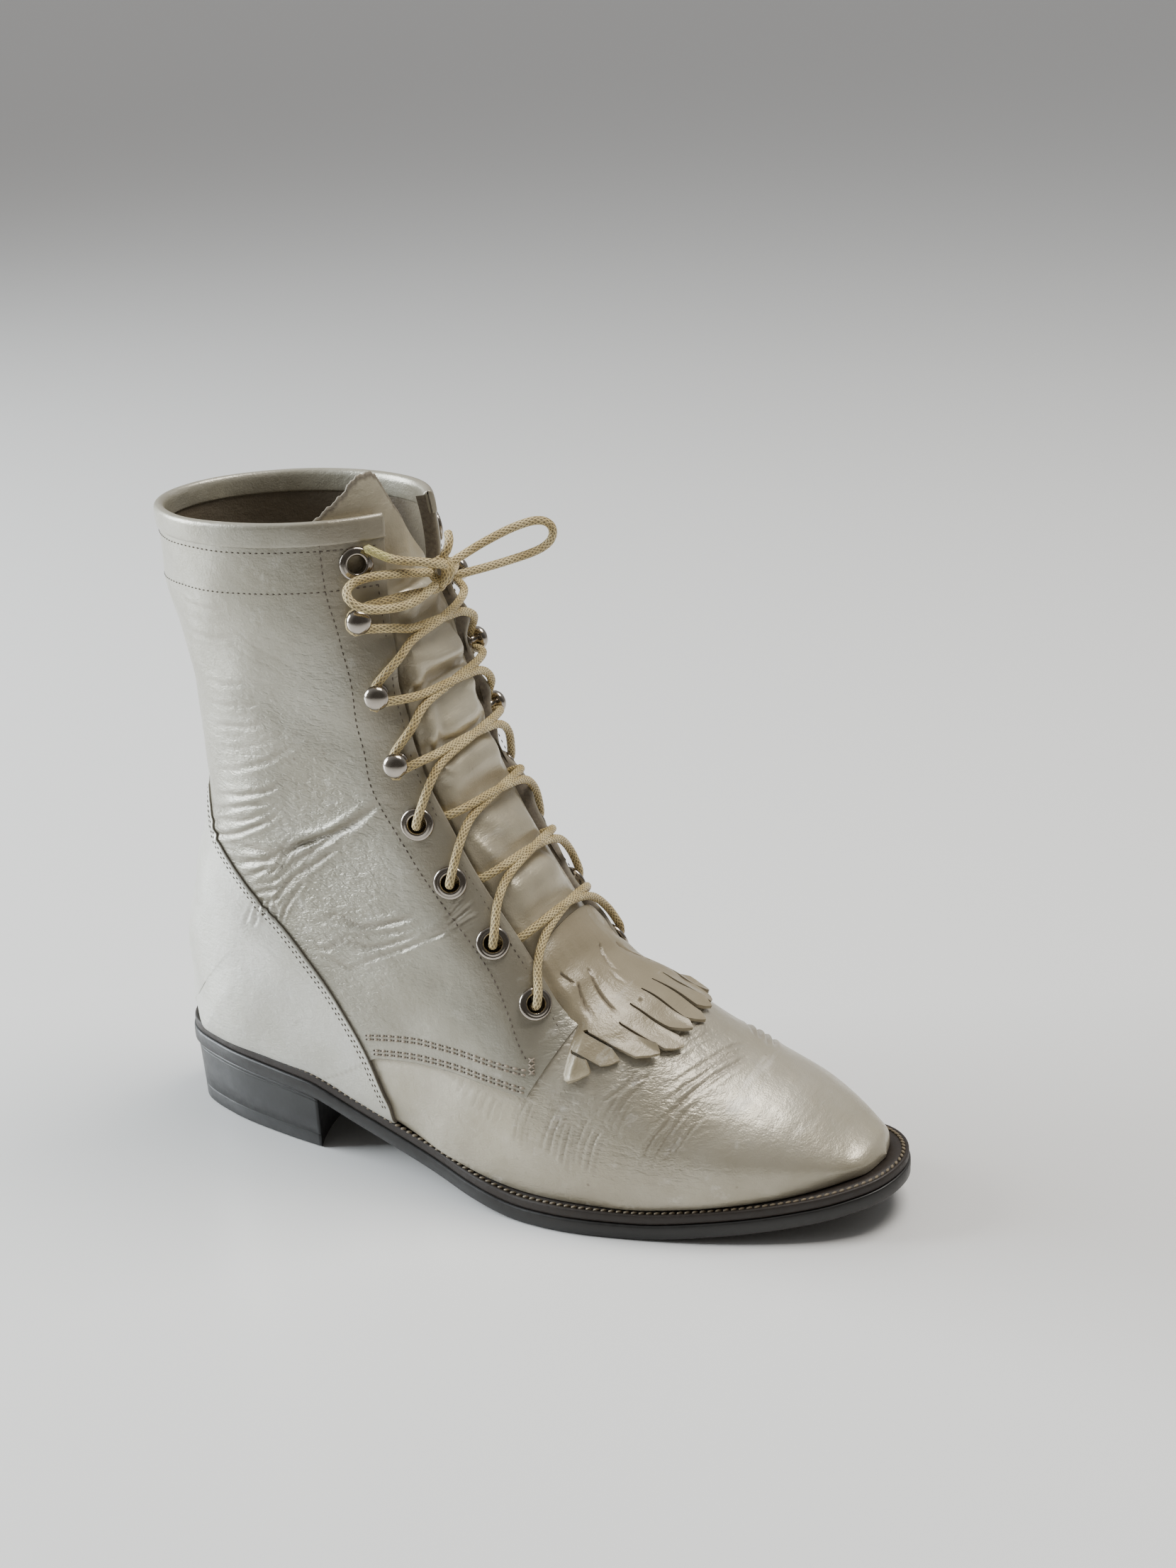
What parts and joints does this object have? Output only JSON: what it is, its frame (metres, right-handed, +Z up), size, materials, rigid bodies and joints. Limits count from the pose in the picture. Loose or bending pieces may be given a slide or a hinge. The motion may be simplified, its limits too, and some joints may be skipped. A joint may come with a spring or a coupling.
{
  "type": "packer boot",
  "caption": "Laced ankle-high boot with a block heel, stitched welt, hooks and eyelets, and a fringed flap over the vamp.",
  "frame": {"origin": "on the floor, under the middle of the sole's length and width", "axes": "+X towards the toe, +Y to the inner side of the foot, +Z up"},
  "size_m": [0.281, 0.0976, 0.2444],
  "materials": {
    "ivory_leather": "smooth pearly ivory leather with fine creases",
    "sole_edge": "waxed black sole edge",
    "heel_block": "satin black stacked heel",
    "welt_strip": "dark brown welt with pale lock stitch",
    "insole_board": "tan insole board",
    "nickel": "polished nickel",
    "waxed_lace": "round waxed cotton lace"
  },
  "bodies": {
    "root": {"outsole": "sole_edge", "welt": "welt_strip", "heel": "heel_block", "insole": "insole_board", "upper": "ivory_leather", "tongue": "ivory_leather", "kiltie": "ivory_leather", "eyelet_out_1": "nickel", "eyelet_out_2": "nickel", "eyelet_out_3": "nickel", "eyelet_out_4": "nickel", "eyelet_out_5": "nickel", "hook_out_1": "nickel", "hook_out_2": "nickel", "hook_out_3": "nickel", "eyelet_in_1": "nickel", "eyelet_in_2": "nickel", "eyelet_in_3": "nickel", "eyelet_in_4": "nickel", "eyelet_in_5": "nickel", "hook_in_1": "nickel", "hook_in_2": "nickel", "hook_in_3": "nickel", "lace_crossing_1": "waxed_lace", "lace_crossing_2": "waxed_lace", "lace_crossing_3": "waxed_lace", "lace_crossing_4": "waxed_lace", "lace_crossing_5": "waxed_lace", "lace_crossing_6": "waxed_lace", "lace_crossing_7": "waxed_lace", "lace_knot": "waxed_lace", "lace_loop_out": "waxed_lace", "lace_loop_in": "waxed_lace", "lace_end_out": "waxed_lace", "lace_end_in": "waxed_lace"}
  },
  "joints": []
}
